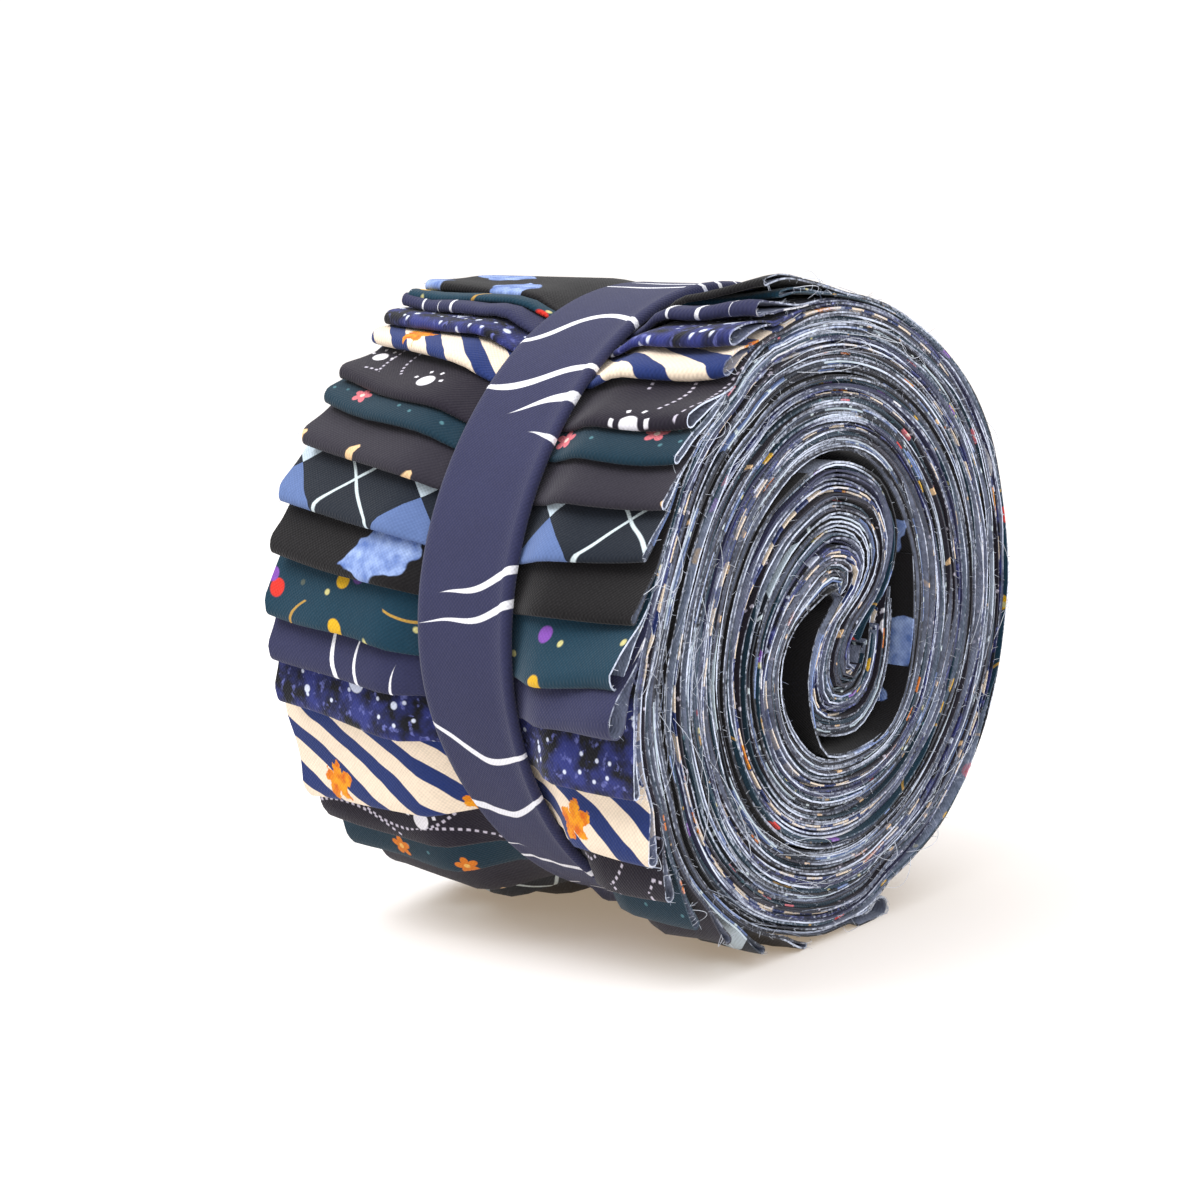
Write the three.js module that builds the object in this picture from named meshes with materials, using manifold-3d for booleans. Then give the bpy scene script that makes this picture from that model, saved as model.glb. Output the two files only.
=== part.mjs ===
// A roll of quilting fabric strips: twenty precut strips, each folded in half across its length,
// stacked with their folds shingled, rolled up as one stack and held by a band of the same cloth.
// Millimetres, +Z up, +X along the roll's axis, origin under the middle of the roll.

import * as THREE from 'three';
import * as BufferGeometryUtils from 'three/addons/utils/BufferGeometryUtils.js';
import Module from 'manifold-3d';

const wasm = await Module();
wasm.setup();

// Driving sizes
const STRIP_WIDTH = 63.5;
const ROLL_WIDTH = 97.2;
const ROLL_HEIGHT = 94;
const BAND_WIDTH = 16.8;
const BAND_THICKNESS = 1.5;
const CLOTH_GAP = 0.35;

// The rim is an ellipse that the floor presses flat by this much
const SAG = 0.6;
const RIM = {
  y: 0,
  z: (ROLL_HEIGHT - SAG) / 2,
  halfWidth: ROLL_WIDTH / 2,
  halfHeight: (ROLL_HEIGHT + SAG) / 2,
};

// The spiral is measured from a point in the core, below and behind the middle of the rim
const CORE = { y: 5, z: 42 };
const FIRST_ANGLE = 135;
const ANGLE_STEP = 45;

// From the core to the inner face of the stack, turn by turn, every 45 degrees round from +Y
const INNER_FACE = [
  { upLeft: 14, left: 18.2, downLeft: 17.5, down: 15.6, downRight: 16.4 },
  { right: 16.5, upRight: 20.7, up: 28.2, upLeft: 31.9, left: 33.2, downLeft: 31.4, down: 28.7, downRight: 28.1 },
  { right: 31.3, upRight: 35, up: 39.6, upLeft: 44.9, left: 46.4, downLeft: 44.2, down: 41.1, downRight: 40.3 },
];

// The hook in the core, from the cut ends of the strips to the start of the spiral: the face of the stack
// that goes on as the inner face of the spiral, and the one that goes on as its outer face
const HOOK = [
  { inner: [18.3, 47.5], outer: [16.7, 47.9] },
  { inner: [18, 43.6], outer: [14.4, 44.6] },
  { inner: [17.2, 39], outer: [12.2, 41.8] },
  { inner: [14.6, 32.9], outer: [9.6, 38.9] },
  { inner: [9.2, 28.6], outer: [7.9, 36.2] },
  { inner: [2.5, 28.7], outer: [6.9, 35.3] },
  { inner: [-2.6, 30.2], outer: [6.2, 36.2] },
  { inner: [-5.9, 33], outer: [6.9, 38.3] },
  { inner: [-6.9, 37.7], outer: [8.6, 41] },
  { inner: [-4.9, 44.5], outer: [11.6, 44.9] },
  { inner: [-1.4, 48.3], outer: [15.6, 48.7] },
  { inner: [0.4, 50.4], outer: [18, 52.6] },
  { inner: [0.4, 51.3], outer: [17.6, 57.6] },
  { inner: [-0.8, 52.1], outer: [13.6, 64.4] },
  { inner: [-2.6, 52.4], outer: [5, 69.2] },
];

// Where the folded end of each strip lies round the rim, in degrees from +Y about the middle of the rim,
// at the +X face and at the -X face, with how far its +X corner lifts off the roll and is set back
const FOLDS = [
  { near: 112, far: 110.6, lift: 4.6, back: 0 },
  { near: 114.6, far: 113, lift: 4, back: 0 },
  { near: 118, far: 115.6, lift: 3.4, back: 0.3 },
  { near: 126.2, far: 120.4, lift: 3, back: 0.6 },
  { near: 130.6, far: 124.4, lift: 1.8, back: 1.4 },
  { near: 140.6, far: 136.3, lift: 0.6, back: 2.4 },
  { near: 146, far: 141, lift: 0.3, back: 2.6 },
  { near: 154, far: 149, lift: 0.2, back: 2.6 },
  { near: 163.7, far: 159.3, lift: 0, back: 2.4 },
  { near: 173.3, far: 168.8, lift: 0, back: 2 },
  { near: 184, far: 178.8, lift: 0, back: 1.4 },
  { near: 191.5, far: 186.7, lift: 0, back: 0.8 },
  { near: 201, far: 195, lift: 0, back: 0.4 },
  { near: 212, far: 205, lift: 0, back: 0.2 },
  { near: 221, far: 216, lift: 0, back: 0 },
  { near: 230.5, far: 228, lift: 0, back: 0 },
  { near: 241, far: 240, lift: 0, back: 0 },
  { near: 251, far: 250, lift: 0, back: 0 },
  { near: 263, far: 262, lift: 0, back: 0 },
  { near: 287, far: 286, lift: 0, back: 0 },
];

// A folded end swells a little before its round nose, then drops to the strip below
const FOLD_SWELL = 0.3;
const NOSE_DROP = 0.1;
const FOLD_STEP = 0.95;
const FLOOR_STEP = 0.25;
const FLOOR_FROM = 240;
// Degrees round the rim: from a shoulder to its nose, from there to the foot, and along which the lift grows
const SHOULDER = 1.3;
const FOOT = 0.2;
const LIFT_FROM = 24;
// The corners at the -X face lift by this share
const FAR_LIFT = 0.35;

// The band draws the roll in over this stretch of its length, and the pinch dies out beside it
const BAND_MIDDLE = 5;
const GROOVE = { halfWidth: 10.8, fade: 8, depth: 2.1 };

// Places along the roll where its section is worked out
const STATIONS = [-31.75, -27.5, -20, -13.5, -9.5, -5.8, 15.8, 19.5, 23.5, 27.5, 31.75];
const SPIRAL_STEP = 9;
const CORE_RECESS = 2.6;
const RECESS_TO = 26;

// The band every 45 degrees round the roll from +Y: its middle drifts along the roll and it is gathered below
const BAND_STEP = 5;
const BAND_PATH = [
  { way: 'right', middle: 5, width: 1 },
  { way: 'upRight', middle: 5.4, width: 1 },
  { way: 'up', middle: 6.2, width: 1 },
  { way: 'upLeft', middle: 5.8, width: 1 },
  { way: 'left', middle: 3.9, width: 1 },
  { way: 'downLeft', middle: 7.8, width: 0.72 },
  { way: 'down', middle: 7.6, width: 0.76 },
  { way: 'downRight', middle: 5.6, width: 0.96 },
];
// Across the band, as a share of half its width, and up through its thickness: one edge is rolled over
const BAND_SECTION = [
  { across: -1, up: 0.15 },
  { across: -0.92, up: 0 },
  { across: 0.92, up: 0 },
  { across: 1, up: 0.3 },
  { across: 0.98, up: 0.85 },
  { across: 0.88, up: 1 },
  { across: 0.76, up: 0.86 },
  { across: -0.8, up: 0.72 },
  { across: -0.94, up: 0.8 },
  { across: -1, up: 0.6 },
];

const turns = (degrees) => THREE.MathUtils.degToRad(degrees);
const mix = THREE.MathUtils.lerp;
const smooth = THREE.MathUtils.smoothstep;

// The value of one column of a table at an angle, in straight lines between its rows
function column(rows, name, angle) {
  const after = rows.findIndex((row) => row.angle >= angle);
  if (after === 0) {
    return rows[0][name];
  }
  if (after < 0) {
    return rows[rows.length - 1][name];
  }
  const [low, high] = [rows[after - 1], rows[after]];
  return mix(low[name], high[name], (angle - low.angle) / (high.angle - low.angle));
}

function fromCore(radius, angle) {
  const a = turns(angle);
  return { y: CORE.y + radius * Math.cos(a), z: CORE.z + radius * Math.sin(a) };
}

// From the core to the rim's ellipse along one direction
function rimRadius(angle) {
  const a = turns(angle);
  const [dy, dz] = [Math.cos(a) / RIM.halfWidth, Math.sin(a) / RIM.halfHeight];
  const [cy, cz] = [(CORE.y - RIM.y) / RIM.halfWidth, (CORE.z - RIM.z) / RIM.halfHeight];
  const square = dy * dy + dz * dz;
  const half = cy * dy + cz * dz;
  return (Math.sqrt(half * half - square * (cy * cy + cz * cz - 1)) - half) / square;
}

// An angle about the middle of the rim, as the angle about the core of the same point of the rim
function aboutCore(rimAngle) {
  const a = turns(rimAngle);
  const y = RIM.y + RIM.halfWidth * Math.cos(a) - CORE.y;
  const z = RIM.z + RIM.halfHeight * Math.sin(a) - CORE.z;
  return (THREE.MathUtils.radToDeg(Math.atan2(z, y)) + 360) % 360;
}

const COMPASS = ['right', 'upRight', 'up', 'upLeft', 'left', 'downLeft', 'down', 'downRight'];
const innerRadii = INNER_FACE.flatMap((row) => COMPASS.filter((way) => way in row).map((way) => row[way]));
const innerCurve = new THREE.CatmullRomCurve3(
  innerRadii.map((radius, i) => new THREE.Vector3(i, radius, 0)),
  false,
  'catmullrom',
  0.5,
);
const LAST_TABLE_ANGLE = FIRST_ANGLE + ANGLE_STEP * (innerRadii.length - 1);

// From the core to the inner face of the stack, at an angle counted on from turn to turn
function innerRadius(angle) {
  const share = (angle - FIRST_ANGLE) / (LAST_TABLE_ANGLE - FIRST_ANGLE);
  return innerCurve.getPoint(THREE.MathUtils.clamp(share, 0, 1)).y;
}

const LAST_TURN = 720;
const foldAngles = FOLDS.map((fold) => ({
  near: LAST_TURN + aboutCore(fold.near),
  far: LAST_TURN + aboutCore(fold.far),
}));
const corners = FOLDS.map(({ lift: up, back }, i) => ({ angle: foldAngles[i].near, up, back }));
const TIP = Math.round(foldAngles[FOLDS.length - 1].near);
const COVERED_TO = TIP - 360;
const EMERGE = 40;

// From the core to the outer face of the stack where another turn covers it, and on the rim
function outerRadius(angle) {
  if (angle >= COVERED_TO + EMERGE) {
    return rimRadius(angle);
  }
  const covered = innerRadius(angle + 360) - CLOTH_GAP;
  return mix(covered, rimRadius(angle), smooth(angle, COVERED_TO, COVERED_TO + EMERGE));
}

const HALF = STRIP_WIDTH / 2;
const nearShare = (x) => (x + HALF) / STRIP_WIDTH;

// How far a corner is lifted: most at the +X face, a little at the other, none in the middle
function lift(angle, x) {
  const first = corners[0];
  const height = angle < first.angle
    ? first.up * smooth(angle, first.angle - LIFT_FROM, first.angle)
    : column(corners, 'up', angle);
  const near = smooth(x, BAND_MIDDLE + GROOVE.halfWidth, HALF);
  const far = FAR_LIFT * smooth(-x, GROOVE.halfWidth - BAND_MIDDLE, HALF);
  return height * (near * near + far);
}

// How far the band draws a point in, at its distance from the core
function pinch(radius, angle, x) {
  const off = Math.abs(x - BAND_MIDDLE) - GROOVE.halfWidth;
  const along = 1 - smooth(off, 0, GROOVE.fade);
  return GROOVE.depth * along * (radius / rimRadius(angle)) ** 3;
}

// The face of the roll is a little hollow towards the core, and the folds' corners are set back at +X
function endPlace(x, radius, back) {
  if (Math.abs(x) < HALF) {
    return x;
  }
  const hollow = CORE_RECESS * (1 - smooth(radius, 0, RECESS_TO));
  return x > 0 ? x - hollow - back : x + hollow;
}

function sectionPoint(radius, angle, x, back = 0) {
  const point = fromCore(radius - pinch(radius, angle, x), angle);
  return new THREE.Vector3(endPlace(x, radius, back), point.y, point.z);
}

function hookPoint([y, z], x) {
  const radius = Math.hypot(y - CORE.y, z - CORE.z);
  const angle = THREE.MathUtils.radToDeg(Math.atan2(z - CORE.z, y - CORE.y));
  return sectionPoint(radius, angle, x);
}

// The folded ends on the rim at one place along the roll: shoulder, nose and foot of each, and what lies between
function foldedRim(x) {
  const points = [];
  const add = (angle, drop) => {
    const radius = rimRadius(angle) - drop + lift(angle, x);
    points.push(sectionPoint(radius, angle, x, column(corners, 'back', angle)));
  };
  const angles = foldAngles.map(({ near, far }) => mix(far, near, nearShare(x)));
  const between = [1 / 3, 2 / 3];
  angles.forEach((angle, i) => {
    const pressed = FOLDS[i].near > FLOOR_FROM;
    const step = pressed ? FLOOR_STEP : FOLD_STEP;
    const swell = pressed ? 0 : FOLD_SWELL;
    add(angle - SHOULDER, -swell);
    add(angle, NOSE_DROP);
    if (i < angles.length - 1) {
      const foot = angle + FOOT;
      const next = angles[i + 1] - SHOULDER;
      add(foot, step);
      between.forEach((share) => add(mix(foot, next, share), mix(step, -swell, share)));
    }
  });
  return points;
}

// The whole outline of the stack at one place along the roll
function stackSection(x) {
  const firstFold = foldAngles[0].far - SHOULDER;
  const steps = Math.floor((firstFold - FIRST_ANGLE) / SPIRAL_STEP);
  const outerSpiral = Array.from({ length: steps }, (_, i) => {
    const angle = FIRST_ANGLE + i * SPIRAL_STEP;
    return sectionPoint(outerRadius(angle) + lift(angle, x), angle, x);
  });
  const innerSteps = Math.floor((TIP - FIRST_ANGLE) / SPIRAL_STEP);
  const innerSpiral = Array.from({ length: innerSteps + 1 }, (_, i) => {
    const angle = FIRST_ANGLE + i * SPIRAL_STEP;
    return sectionPoint(innerRadius(angle), angle, x);
  });
  const outer = [...HOOK.map((row) => hookPoint(row.outer, x)), ...outerSpiral, ...foldedRim(x)];
  const inner = [...HOOK.map((row) => hookPoint(row.inner, x)), ...innerSpiral];
  return [...outer, ...inner.reverse()];
}

// A closed solid through sections with the same number of points, counter-clockwise seen from +X
function loft(sections) {
  const count = sections[0].length;
  const vertices = sections.flat().flatMap((point) => [point.x, point.y, point.z]);
  const faces = [];
  for (let s = 0; s < sections.length - 1; s++) {
    for (let i = 0; i < count; i++) {
      const [a, b] = [s * count + i, s * count + ((i + 1) % count)];
      faces.push(a, b, a + count, b, b + count, a + count);
    }
  }
  const cap = (section) => THREE.ShapeUtils.triangulateShape(
    section.map((point) => new THREE.Vector2(point.y, point.z)),
    [],
  );
  const lastSection = (sections.length - 1) * count;
  cap(sections[0]).forEach(([a, b, c]) => faces.push(a, c, b));
  cap(sections[sections.length - 1]).forEach((face) => faces.push(...face.map((i) => lastSection + i)));
  const geometry = new THREE.BufferGeometry();
  geometry.setAttribute('position', new THREE.Float32BufferAttribute(vertices, 3));
  geometry.setIndex(faces);
  return geometry;
}

// A closed ring through sections that go round the roll
function ring(sections) {
  const count = sections[0].length;
  const vertices = sections.flat().flatMap((point) => [point.x, point.y, point.z]);
  const faces = [];
  sections.forEach((_, s) => {
    const after = (s + 1) % sections.length;
    for (let i = 0; i < count; i++) {
      const next = (i + 1) % count;
      const [a, b, c, d] = [s * count + i, s * count + next, after * count + next, after * count + i];
      faces.push(a, b, d, b, c, d);
    }
  });
  const geometry = new THREE.BufferGeometry();
  geometry.setAttribute('position', new THREE.Float32BufferAttribute(vertices, 3));
  geometry.setIndex(faces);
  return geometry;
}

function toSolid(geometry) {
  geometry.deleteAttribute('normal');
  geometry.deleteAttribute('uv');
  const merged = BufferGeometryUtils.mergeVertices(geometry, 1e-4);
  return new wasm.Manifold(new wasm.Mesh({
    numProp: 3,
    vertProperties: new Float32Array(merged.attributes.position.array),
    triVerts: new Uint32Array(merged.index.array),
  }));
}

function toGeometry(solid) {
  const { vertProperties, triVerts } = solid.getMesh();
  const geometry = new THREE.BufferGeometry();
  geometry.setAttribute('position', new THREE.Float32BufferAttribute(vertProperties, 3));
  geometry.setIndex(Array.from(triVerts));
  return geometry;
}

// What the floor presses flat
const BELOW = 20;
const belowFloor = toSolid(
  new THREE.BoxGeometry(2 * STRIP_WIDTH, 2 * ROLL_WIDTH, BELOW).translate(0, 0, -BELOW / 2),
);
const restOnFloor = (geometry) => toGeometry(toSolid(geometry).subtract(belowFloor));

const woundStrips = loft(STATIONS.map(stackSection));

// The band lies in the pinched groove, clear of the folds' noses
const bandPath = new THREE.CatmullRomCurve3(
  BAND_PATH.map(({ middle, width }) => new THREE.Vector3(middle, width, 0)),
  true,
  'catmullrom',
  0.5,
);

function bandSection(angle) {
  const { x: middle, y: width } = bandPath.getPoint(angle / 360);
  const halfWidth = (width * BAND_WIDTH) / 2;
  const inside = rimRadius(angle) - GROOVE.depth + FOLD_SWELL + CLOTH_GAP;
  return BAND_SECTION.map(({ across, up }) => {
    const point = fromCore(inside + up * BAND_THICKNESS, angle);
    return new THREE.Vector3(middle + across * halfWidth, point.y, point.z);
  });
}

const bandAngles = Array.from({ length: 360 / BAND_STEP }, (_, i) => i * BAND_STEP);
const tieBand = ring(bandAngles.map(bandSection));

const stackCloth = new THREE.MeshStandardMaterial({ color: 0x5f6a80, roughness: 0.95, metalness: 0 });
const bandCloth = new THREE.MeshStandardMaterial({ color: 0x45466d, roughness: 0.9, metalness: 0 });

function piece(name, geometry, material) {
  const mesh = new THREE.Mesh(restOnFloor(geometry), material);
  mesh.name = name;
  return mesh;
}

const roll = new THREE.Group();
roll.add(piece('wound_strips', woundStrips, stackCloth));
roll.add(piece('tie_band', tieBand, bandCloth));

export default roll;
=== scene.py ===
import math

import bpy
import numpy as np
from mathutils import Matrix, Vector


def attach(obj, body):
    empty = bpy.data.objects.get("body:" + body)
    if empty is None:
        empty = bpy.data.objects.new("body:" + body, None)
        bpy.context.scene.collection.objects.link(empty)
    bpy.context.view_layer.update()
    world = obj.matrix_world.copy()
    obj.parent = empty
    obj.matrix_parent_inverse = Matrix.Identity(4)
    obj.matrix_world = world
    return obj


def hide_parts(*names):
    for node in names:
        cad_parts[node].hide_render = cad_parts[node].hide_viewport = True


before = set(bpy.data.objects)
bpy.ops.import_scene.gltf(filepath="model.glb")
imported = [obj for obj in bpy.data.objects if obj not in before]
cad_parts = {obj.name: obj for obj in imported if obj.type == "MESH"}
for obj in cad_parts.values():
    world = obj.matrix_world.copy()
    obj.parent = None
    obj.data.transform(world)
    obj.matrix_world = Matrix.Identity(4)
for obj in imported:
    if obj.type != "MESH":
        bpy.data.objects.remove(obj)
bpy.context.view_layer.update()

# How the stack is wound
# Twenty cotton strips are folded in half, laid on each other with their folded ends a little apart and
# rolled up together from the cut ends, so that they wind as one thick spiral. Sizes are in millimetres.
MM = 0.001
STRIP_WIDTH = 63.5
HALF = STRIP_WIDTH / 2
STRIPS = 20
LAYERS = 2 * STRIPS
CORE_Y, CORE_Z = 5.0, 42.0
TURN_GAP = 0.35
RIM_Z, RIM_HALF_WIDTH, RIM_HALF_HEIGHT = 46.7, 48.6, 47.3

# From the core to the inner face of the stack, every 45 degrees from 135 on
INNER_FACE = np.array([
    11.6, 18.0, 17.5, 15.6, 16.4,
    16.5, 20.7, 28.2, 31.9, 33.2, 31.4, 28.7, 28.1,
    31.3, 35, 39.6, 44.9, 46.4, 44.2, 41.1, 40.3,
])
SPIRAL_FROM = 135
# The hook in the core, from the cut ends on: inner face, outer face, and how many layers reach so far
HOOK = np.array([
    [19.9, 49.6, 18.0, 49.4, 10],
    [19.9, 44.0, 14.8, 45.4, 18],
    [19.4, 38.8, 12.3, 42.2, 26],
    [16.6, 32.6, 11.0, 40.2, 30],
    [10.8, 28.3, 10.0, 38.8, 32],
    [3.2, 28.4, 9.2, 38.0, 34],
    [-2.6, 30.2, 8.5, 38.0, 35],
    [-5.9, 33.0, 8.9, 39.4, 36],
    [-6.9, 37.7, 10.2, 41.8, 38],
    [-4.9, 44.5, 12.9, 45.4, 39],
    [-1.4, 48.0, 16.8, 49.3, 40],
    [0.2, 49.6, 18.2, 54.6, 40],
    [0.5, 50.2, 16.6, 60.6, 40],
    [-0.6, 50.6, 10.4, 67.2, 40],
    [-2.0, 50.5, -3.0, 70.1, 40],
])
HOOK_STEP = 18
HOOK_FROM = SPIRAL_FROM - HOOK_STEP * len(HOOK)
hook_angles = HOOK_FROM + HOOK_STEP * np.arange(len(HOOK))
# The innermost strip leaves the hook and lies along the first turn
STRAY_END = np.array([
    [20.9, 54.4], [21.9, 46.8], [21.7, 41.0], [20.0, 34.0],
    [15.0, 28.3], [6.8, 26.5], [-1.2, 27.0], [-4.8, 30.0],
])


def through(rows, at):
    """A smooth curve through evenly spaced rows, at places counted in rows."""
    rows = np.asarray(rows, float)
    at = np.clip(at, 0, len(rows) - 1 - 1e-9)
    i = at.astype(int)
    t = (at - i).reshape((-1,) + (1,) * (rows.ndim - 1))
    before, here = rows[np.maximum(i - 1, 0)], rows[i]
    after, later = rows[i + 1], rows[np.minimum(i + 2, len(rows) - 1)]
    bend = 2 * before - 5 * here + 4 * after - later
    return here + 0.5 * t * (after - before + t * (bend + t * (3 * (here - after) + later - before)))


def smooth(low, high, value):
    t = np.clip((value - low) / (high - low), 0, 1)
    return t * t * (3 - 2 * t)


def around(angle):
    a = np.radians(angle)
    return np.stack([np.cos(a), np.sin(a)], -1)


def rim_radius(angle):
    """From the core to the rim's ellipse along one direction."""
    way = around(angle) / [RIM_HALF_WIDTH, RIM_HALF_HEIGHT]
    off = np.array([CORE_Y, CORE_Z - RIM_Z]) / [RIM_HALF_WIDTH, RIM_HALF_HEIGHT]
    square, half = (way ** 2).sum(-1), (way * off).sum(-1)
    return (np.sqrt(half ** 2 - square * ((off ** 2).sum() - 1)) - half) / square


def inner_radius(angle):
    return through(INNER_FACE, (np.asarray(angle, float) - SPIRAL_FROM) / 45)


# Where each strip's folded end lies round the rim, in degrees about the rim's middle at the +X face and the
# -X face, how much farther round it bows between them, how far its +X corner lifts, how wide its fold stands
# open there and elsewhere, its print, and where on the print it is cut
FOLDS = [
    (111.5, 110.2, 1.0, 3.5, 0.7, 0.5, "night_leaf", (282, 8.5)),
    (108.0, 114.4, 2.0, 1.2, 0.5, 0.5, "meadow_dot", (-205, -132)),
    (114.0, 115.9, 3.6, 0.3, 1.6, 0.8, "white_line", (-145, -88)),
    (121.8, 120.9, 3.2, 0.3, 1.6, 0.8, "starry_speck", (241, -327)),
    (126.4, 125.0, 6.0, -0.6, 1.6, 0.8, "cream_stripe", (158, 13)),
    (139.5, 136.5, 3.8, 0.0, 1.7, 0.8, "plum_arc", (280, -1.9)),
    (145.9, 141.4, 3.4, 0.0, 0.9, 0.7, "pink_flower", (285, 0)),
    (153.7, 149.6, 2.8, 0.0, 0.9, 0.8, "charcoal_dash", (236, 0)),
    (163.0, 160.0, 3.0, 0.0, 0.9, 0.8, "argyle", (-6, 7.4)),
    (173.1, 169.2, 2.0, 0.0, 1.0, 0.8, "night_leaf", (336, 5.5)),
    (183.9, 179.2, 1.8, 0.2, 2.8, 0.7, "meadow_dot", (228, 0)),
    (190.3, 186.5, 1.8, 0.2, 3.2, 0.6, "white_line", (70, 0)),
    (201.5, 194.6, 1.1, 0.0, 0.9, 0.8, "starry_speck", (188, 0)),
    (214.1, 214.4, -0.6, 0.2, 1.6, 0.9, "cream_stripe", (296.5, 0)),
    (221.8, 220.2, 1.2, 0.4, 1.5, 0.8, "plum_arc", (76, 0)),
    (231.5, 229.4, 0.6, 0.4, 1.0, 0.6, "orange_flower", (101, 0)),
    (240.0, 240.0, 0.4, 0.0, 0.8, 0.5, "charcoal_dash", (150, 0)),
    (251.0, 250.0, 0.0, 0.0, 0.6, 0.4, "argyle", (0, 19)),
    (263.0, 262.0, 0.0, 0.0, 0.4, 0.3, "plain_ink", (0, 0)),
    (289.2, 286.0, 0.0, -0.2, 4.2, 0.6, "night_leaf", (143.2, 379.4)),
]
# How far the rims are pressed in from the ellipse: degrees about the rim's middle, +X rim, -X rim
RIM_DENT = np.array([
    [28, 0.0, 0.0], [40, 0.7, 0.0], [52, 1.6, 0.0], [66, 2.1, 0.0], [80, 1.7, 0.0], [92, 1.1, 0.0],
    [100, 0.9, 0.0], [113, 0.8, 0.2], [121, 1.9, 0.8], [126, 3.7, 1.3], [139, 3.3, 0.2], [146, 3.7, 0.0],
    [154, 4.4, 0.0], [163, 4.4, 0.4], [173, 3.3, 0.0], [184, 0.7, 0.0], [192, 0.3, 0.0], [205, 1.3, 0.0],
    [214, 0.1, 0.4], [222, 0.0, 1.2], [231, 0.4, 1.2], [242, 0.8, 2.2], [255, 1.5, 3.8], [268, 1.0, 4.0],
    [281, 1.3, 3.3], [289, 3.2, 2.6], [298, 2.7, 1.6], [310, 1.5, 0.6], [325, 1.1, 0.0], [338, 0.4, 0.0],
    [350, 0.0, 0.0],
])


def about_core(rim_angle):
    """The turn angle about the core of a point of the rim, on the last turn."""
    way = around(rim_angle) * [RIM_HALF_WIDTH, RIM_HALF_HEIGHT] + [-CORE_Y, RIM_Z - CORE_Z]
    return 720 + np.degrees(np.arctan2(way[..., 1], way[..., 0])) % 360


near_folds = about_core(np.array([row[0] for row in FOLDS]))
far_folds = about_core(np.array([row[1] for row in FOLDS]))
mid_folds = (near_folds + far_folds) / 2
COVERED_TO = near_folds[-1] - 360
dent_angles = about_core(RIM_DENT[:, 0]) % 360

# The stack's two faces and the layers between them, one row a degree
wound = np.arange(HOOK_FROM, near_folds[-1] + 12, 1.0)
on_spiral = wound >= SPIRAL_FROM
spiral_angles = wound[on_spiral]
covered_radius = inner_radius(spiral_angles + 360) - TURN_GAP
open_share = smooth(COVERED_TO, COVERED_TO + 40, spiral_angles)
outer_radius = covered_radius * (1 - open_share) + rim_radius(spiral_angles) * open_share
core = np.array([CORE_Y, CORE_Z])
inner_spiral = core + around(spiral_angles) * inner_radius(spiral_angles)[:, None]
outer_spiral = core + around(spiral_angles) * outer_radius[:, None]
joined = [0, HOOK_STEP]
hook_rows = np.vstack([HOOK[:, :4], np.hstack([inner_spiral[joined], outer_spiral[joined]])])
hook = through(hook_rows, (wound[~on_spiral] - HOOK_FROM) / HOOK_STEP)
inner_line = np.vstack([hook[:, :2], inner_spiral])
outer_line = np.vstack([hook[:, 2:], outer_spiral])

hook_layers = np.interp(wound, hook_angles, HOOK[:, 4])
rim_layers = np.interp(wound, mid_folds, 2.0 * (STRIPS - np.arange(STRIPS)))
layers_here = np.minimum(hook_layers, rim_layers)

# Layers don't lie evenly: each takes a little more or less room, which changes slowly along the spiral
ROOM_STEP, LEAST_ROOM, MOST_ROOM = 50, 0.5, 1.5
draw = np.random.default_rng(2024)
knots = np.arange(wound[0], wound[-1] + ROOM_STEP, ROOM_STEP)
room_knots = draw.uniform(LEAST_ROOM, MOST_ROOM, (LAYERS, len(knots)))
room = np.array([np.interp(wound, knots, row) for row in room_knots])
room_before = np.vstack([np.zeros(len(wound)), np.cumsum(room, 0)])
whole = np.minimum(layers_here.astype(int), LAYERS - 1)
columns = np.arange(len(wound))
room_here = room_before[whole, columns] + (layers_here - whole) * room[whole, columns]
layer_share = (room_before[:-1] + room / 2) / room_here
stack_depth = np.linalg.norm(outer_line - inner_line, axis=1)
layer_pitch = room / room_here * stack_depth

# The band's way round the roll, every 45 degrees: its middle along the roll and its share of its full width
BAND_WIDTH = 16.8
BAND_PATH = np.array([
    [5, 1], [4.6, 1], [3.6, 1], [3.9, 0.97], [3.8, 0.95], [7.6, 0.7], [7.4, 0.76], [5.6, 0.96],
])
GROOVE_DEPTH = 2.1
GROOVE_FADE, DEEP_FADE = 7, 4
UNDER_ANGLE, UNDER_DEPTH, UNDER_REACH = 250, 3.8, 36
DENT_FROM, DENT_CURVE, DENT_FADE = 9, 1.2, 5


def band_place(angle):
    """The band's middle along the roll and its half width, at an angle about the core."""
    rows = np.vstack([BAND_PATH[-1:], BAND_PATH, BAND_PATH[:3]])
    found = through(rows, 1 + (np.asarray(angle, float).ravel() % 360) / 45)
    shape = np.shape(angle)
    return found[:, 0].reshape(shape), found[:, 1].reshape(shape) * BAND_WIDTH / 2


def groove_depth(angle):
    """How deep the band lies in the roll: deepest underneath, where it is gathered."""
    return GROOVE_DEPTH + UNDER_DEPTH * np.exp(-((angle % 360 - UNDER_ANGLE) / UNDER_REACH) ** 2)


def drawn_in(radius, angle, x):
    """How far the band draws a point of the roll in."""
    middle, half_width = band_place(angle)
    depth = groove_depth(angle)
    fade = np.where(x < middle, GROOVE_FADE + DEEP_FADE * (depth - GROOVE_DEPTH), GROOVE_FADE)
    along = 1 - smooth(0, fade, np.abs(x - middle) - half_width + 0.5)
    return depth * along * (radius / rim_radius(angle)) ** 3


def dented(radius, angle, x):
    """How far a rim is pressed in at a point of the roll."""
    near, far = (np.interp(angle % 360, dent_angles, RIM_DENT[:, i], left=0, right=0) for i in (1, 2))
    depth = near * smooth(DENT_FROM, HALF, x) ** DENT_CURVE + far * smooth(DENT_FROM, HALF, -x) ** DENT_CURVE
    return depth * (radius / rim_radius(angle)) ** DENT_FADE


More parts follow.
